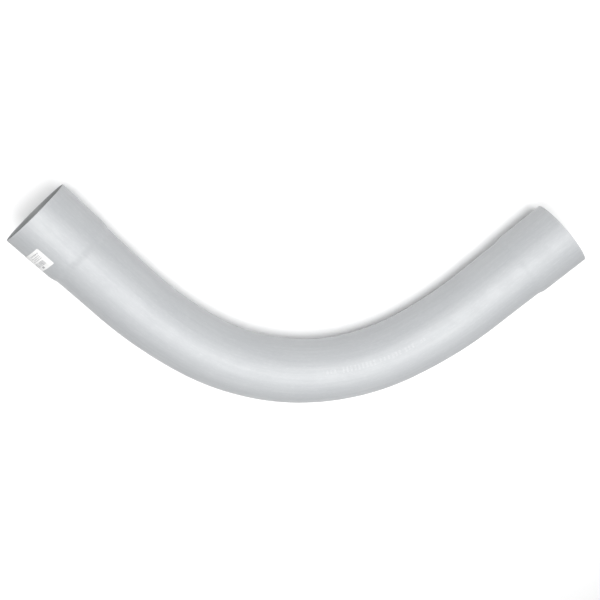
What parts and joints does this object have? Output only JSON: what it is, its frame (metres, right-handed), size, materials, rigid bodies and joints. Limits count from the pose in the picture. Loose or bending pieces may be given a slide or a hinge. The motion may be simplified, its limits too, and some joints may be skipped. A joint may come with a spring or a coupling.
{
  "type": "pvc conduit elbow",
  "caption": "Right-angle rigid PVC conduit elbow: a long-sweep bent tube with a solvent-weld bell socket at each end, a sticker on one bell and an ink legend on the bend.",
  "frame": {"origin": "centre of socket A at its inner end, where a mating tube stops, on leg A's axis", "axes": "+Y out of socket A along leg A, +X out of socket B along leg B, +Z normal to the plane of the bend, up with the elbow lying flat"},
  "size_m": [0.6687, 0.6687, 0.1198],
  "materials": {
    "pvc_grey": "satin light grey rigid PVC with faint extrusion lines",
    "adhesive": "clear to milky pressure-sensitive adhesive film",
    "label_paper": "matt white label stock",
    "label_ink": "matt grey thermal print",
    "legend_ink": "matt white ink-jet print"
  },
  "bodies": {
    "root": {"elbow_pipe": "pvc_grey", "label_adhesive": "adhesive", "label_paper": "label_paper", "label_print": "label_ink", "pipe_print": "legend_ink"}
  },
  "joints": []
}
